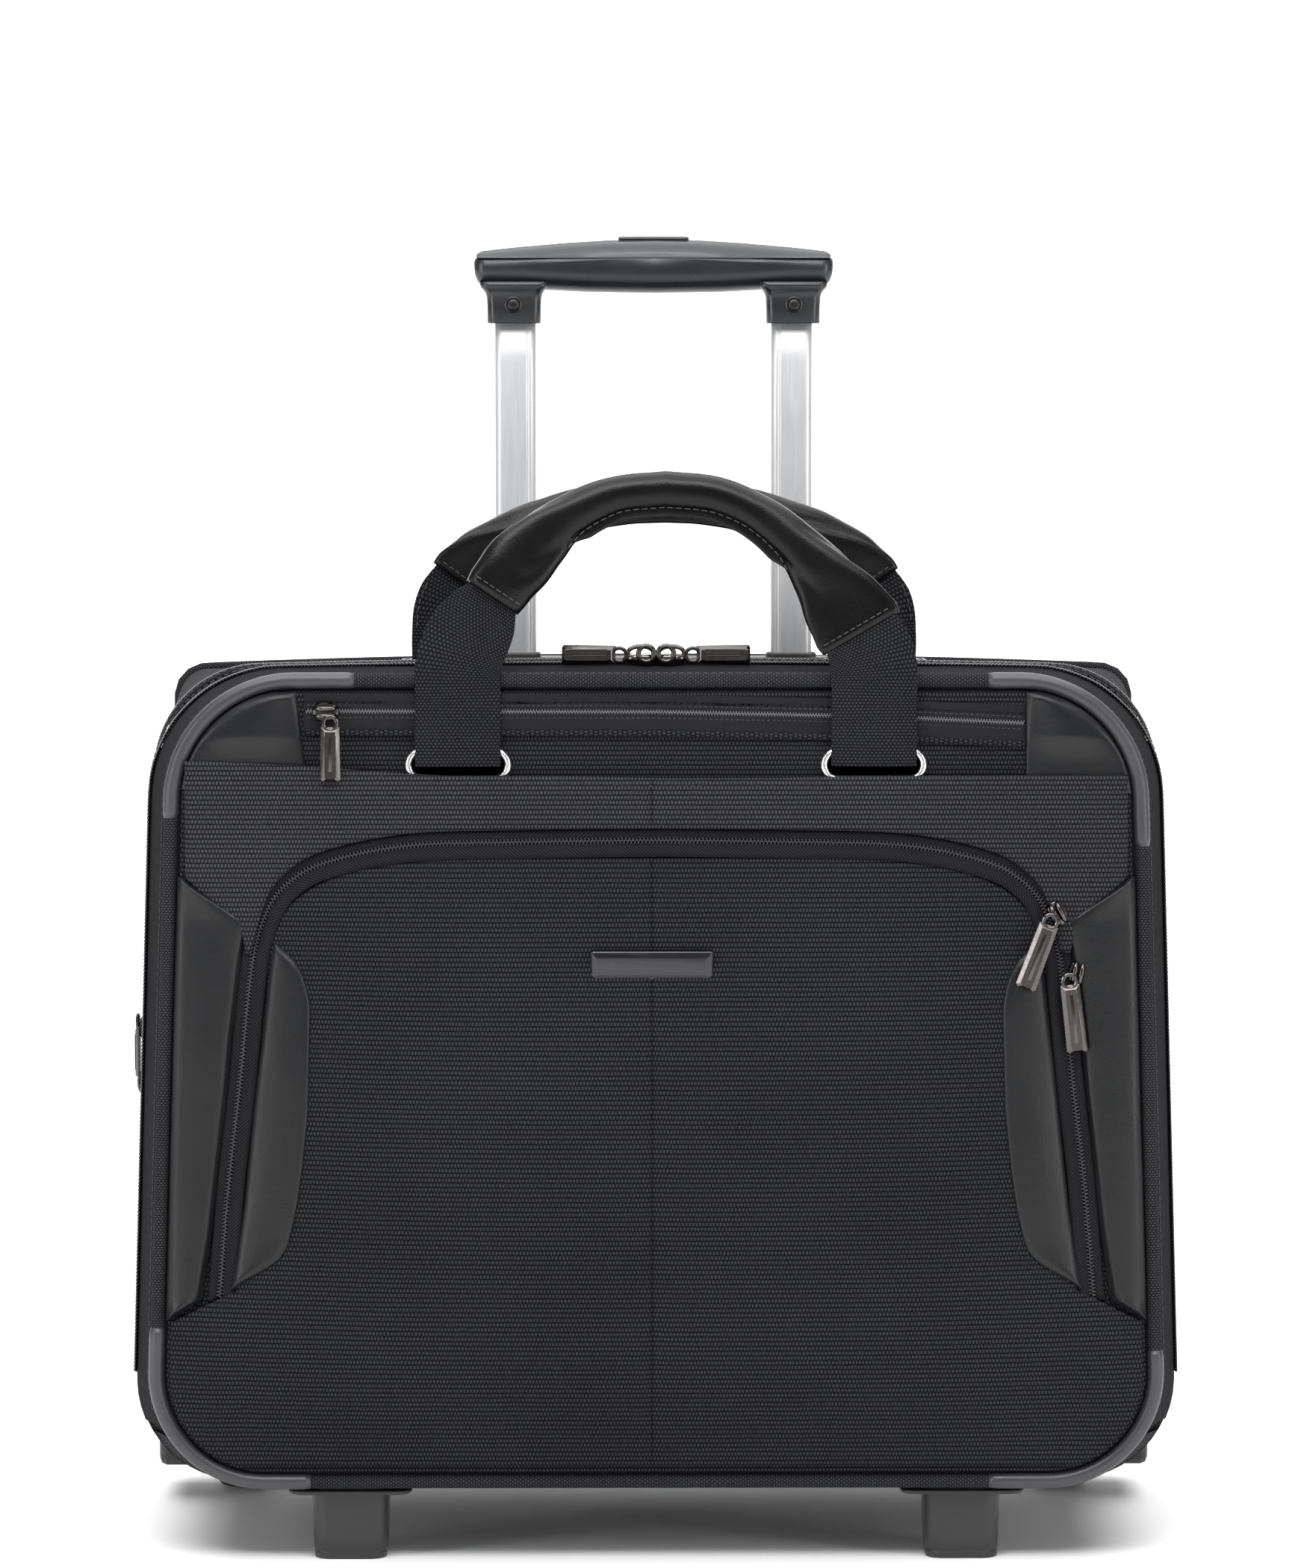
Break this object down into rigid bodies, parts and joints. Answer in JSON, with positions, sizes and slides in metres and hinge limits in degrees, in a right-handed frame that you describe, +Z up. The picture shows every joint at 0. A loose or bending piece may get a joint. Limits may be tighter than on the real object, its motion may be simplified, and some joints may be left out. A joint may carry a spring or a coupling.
{
  "type": "wheeled soft-sided laptop case",
  "caption": "Soft-sided rolling laptop and overnight case with twin carry handles, telescopic trolley grip, arched zip pocket, corner guards, front feet and inset rear wheels.",
  "frame": {"origin": "on the floor, under the middle of the case body, halfway between the two wheels across and at mid depth of the body", "axes": "+Z up with the case standing on its feet and wheels; -Y towards the front with the arched pocket; +X towards the right of someone facing that front"},
  "size_m": [0.4487, 0.227, 0.566],
  "materials": {
    "shell_fabric": "ribbed nylon twill, dark grey",
    "lining": "plain woven lining over padding",
    "piping_weave": "woven tape round a cord core",
    "corner_plastic": "semi-matte moulded tube",
    "leatherette": "fine pebble grain, rolled edges",
    "webbing": "narrow woven webbing",
    "zip_tape": "herringbone tape with nylon coil",
    "black_plastic": "fine moulded texture",
    "grip_plastic": "satin moulded plastic",
    "tube_aluminium": "bright anodised, drawn lengthwise",
    "tyre_rubber": "plain tread",
    "gunmetal": "dark plated, polished facets",
    "chrome": "polished plating",
    "steel": "turned steel"
  },
  "bodies": {
    "case": {"rear_shell": "shell_fabric", "back_partition": "lining", "divider_pad": "lining", "skid_plate": "black_plastic", "main_zip_tape": "zip_tape", "back_piping": "piping_weave", "wheel_housing_left": "black_plastic", "wheel_housing_right": "black_plastic", "axle_left": "steel", "axle_right": "steel", "front_foot_left": "black_plastic", "front_foot_right": "black_plastic", "outer_tube_left": "tube_aluminium", "outer_tube_right": "tube_aluminium", "trolley_bezel": "black_plastic", "trolley_base_bracket": "black_plastic"},
    "front_lid": {"front_lid_shell": "shell_fabric", "front_piping": "piping_weave", "corner_guard_upper_left": "corner_plastic", "corner_guard_upper_right": "corner_plastic", "corner_guard_lower_left": "corner_plastic", "corner_guard_lower_right": "corner_plastic", "lower_panel": "shell_fabric", "slip_pocket": "shell_fabric", "eyelet_left": "chrome", "eyelet_right": "chrome", "arch_zip_tape": "zip_tape", "top_pocket_zip_tape": "zip_tape"},
    "front_pocket_flap": {"pocket_flap": "shell_fabric", "inner_inlay_left": "leatherette", "inner_inlay_right": "leatherette", "badge_plate": "gunmetal"},
    "arch_pull_upper": {"arch_puller_upper": "gunmetal"},
    "arch_pull_lower": {"arch_puller_lower": "gunmetal"},
    "front_handle": {"front_handle_webbing": "webbing", "front_handle_grip": "leatherette"},
    "rear_handle": {"rear_handle_webbing": "webbing", "rear_handle_grip": "leatherette"},
    "trolley_mid": {"mid_tube_left": "tube_aluminium", "mid_tube_right": "tube_aluminium"},
    "trolley_top": {"inner_tube_left": "tube_aluminium", "inner_tube_right": "tube_aluminium", "grip_lower": "grip_plastic", "grip_upper": "grip_plastic"},
    "trolley_button": {"release_button": "grip_plastic", "push_rod_left": "steel", "push_rod_right": "steel"},
    "wheel_left": {"tyre_left": "tyre_rubber", "hub_left": "black_plastic"},
    "wheel_right": {"tyre_right": "tyre_rubber", "hub_right": "black_plastic"},
    "top_slide_left": {"top_slider_left": "gunmetal"},
    "top_slide_right": {"top_slider_right": "gunmetal"},
    "top_pull_left": {"top_puller_left": "gunmetal"},
    "top_pull_right": {"top_puller_right": "gunmetal"},
    "pocket_slide": {"pocket_slider": "gunmetal"},
    "pocket_pull": {"pocket_puller": "gunmetal"},
    "side_slide": {"side_slider": "gunmetal"},
    "side_pull": {"side_puller": "gunmetal"}
  },
  "joints": [
    {"name": "lid_hinge", "type": "hinge", "parent": "case", "child": "front_lid", "pos_m": [0, -0.089, 0.035], "axis": [1, 0, 0], "range_deg": [0, 65]},
    {"name": "pocket_flap_hinge", "type": "hinge", "parent": "front_lid", "child": "front_pocket_flap", "pos_m": [0, -0.1095, 0.11], "axis": [1, 0, 0], "range_deg": [0, 35]},
    {"name": "front_handle_swing", "type": "hinge", "parent": "front_lid", "child": "front_handle", "pos_m": [0, -0.0945, 0.34], "axis": [1, 0, 0], "range_deg": [0, 100]},
    {"name": "rear_handle_swing", "type": "hinge", "parent": "case", "child": "rear_handle", "pos_m": [0, -0.003, 0.38], "axis": [-1, 0, 0], "range_deg": [0, 55]},
    {"name": "trolley_mid_slide", "type": "slide", "parent": "case", "child": "trolley_mid", "axis": [0, 0, 1], "range_m": [0, 0.28]},
    {"name": "trolley_top_slide", "type": "slide", "parent": "trolley_mid", "child": "trolley_top", "axis": [0, 0, 1], "range_m": [-0.147, 0.145]},
    {"name": "trolley_button_press", "type": "slide", "parent": "trolley_top", "child": "trolley_button", "axis": [0, 0, -1], "range_m": [0, 0.004], "stiffness_N_per_m": 300},
    {"name": "wheel_left_spin", "type": "hinge", "parent": "case", "child": "wheel_left", "pos_m": [-0.1845, 0.085, 0.03], "axis": [1, 0, 0], "continuous": true},
    {"name": "wheel_right_spin", "type": "hinge", "parent": "case", "child": "wheel_right", "pos_m": [0.1845, 0.085, 0.03], "axis": [1, 0, 0], "continuous": true},
    {"name": "top_slider_left_run", "type": "slide", "parent": "case", "child": "top_slide_left", "axis": [-1, 0, 0], "range_m": [0, 0.1]},
    {"name": "top_slider_right_run", "type": "slide", "parent": "case", "child": "top_slide_right", "axis": [1, 0, 0], "range_m": [0, 0.1]},
    {"name": "top_puller_left_swing", "type": "hinge", "parent": "top_slide_left", "child": "top_pull_left", "pos_m": [-0.016, -0.067, 0.3857], "axis": [0, 1, 0], "range_deg": [0, 90]},
    {"name": "top_puller_right_swing", "type": "hinge", "parent": "top_slide_right", "child": "top_pull_right", "pos_m": [0.016, -0.067, 0.3857], "axis": [0, -1, 0], "range_deg": [0, 90]},
    {"name": "pocket_slider_run", "type": "slide", "parent": "front_lid", "child": "pocket_slide", "axis": [1, 0, 0], "range_m": [0, 0.022]},
    {"name": "pocket_puller_swing", "type": "hinge", "parent": "pocket_slide", "child": "pocket_pull", "pos_m": [-0.137, -0.0973, 0.358], "axis": [-1, 0, 0], "range_deg": [0, 80]},
    {"name": "side_slider_run", "type": "slide", "parent": "case", "child": "side_slide", "axis": [0.021, 0, 0.9998], "range_m": [0, 0.08]},
    {"name": "side_puller_swing", "type": "hinge", "parent": "side_slide", "child": "side_pull", "pos_m": [-0.22305, -0.025, 0.224], "axis": [0, 1, 0], "range_deg": [0, 80]},
    {"name": "arch_puller_upper_swing", "type": "hinge", "parent": "front_pocket_flap", "child": "arch_pull_upper", "pos_m": [0.1655, -0.099, 0.2745], "axis": [-0.9371, 0, 0.349], "range_deg": [0, 80]},
    {"name": "arch_puller_lower_swing", "type": "hinge", "parent": "front_pocket_flap", "child": "arch_pull_lower", "pos_m": [0.174, -0.0972, 0.249], "axis": [-0.9928, 0, -0.12], "range_deg": [0, 80]}
  ]
}
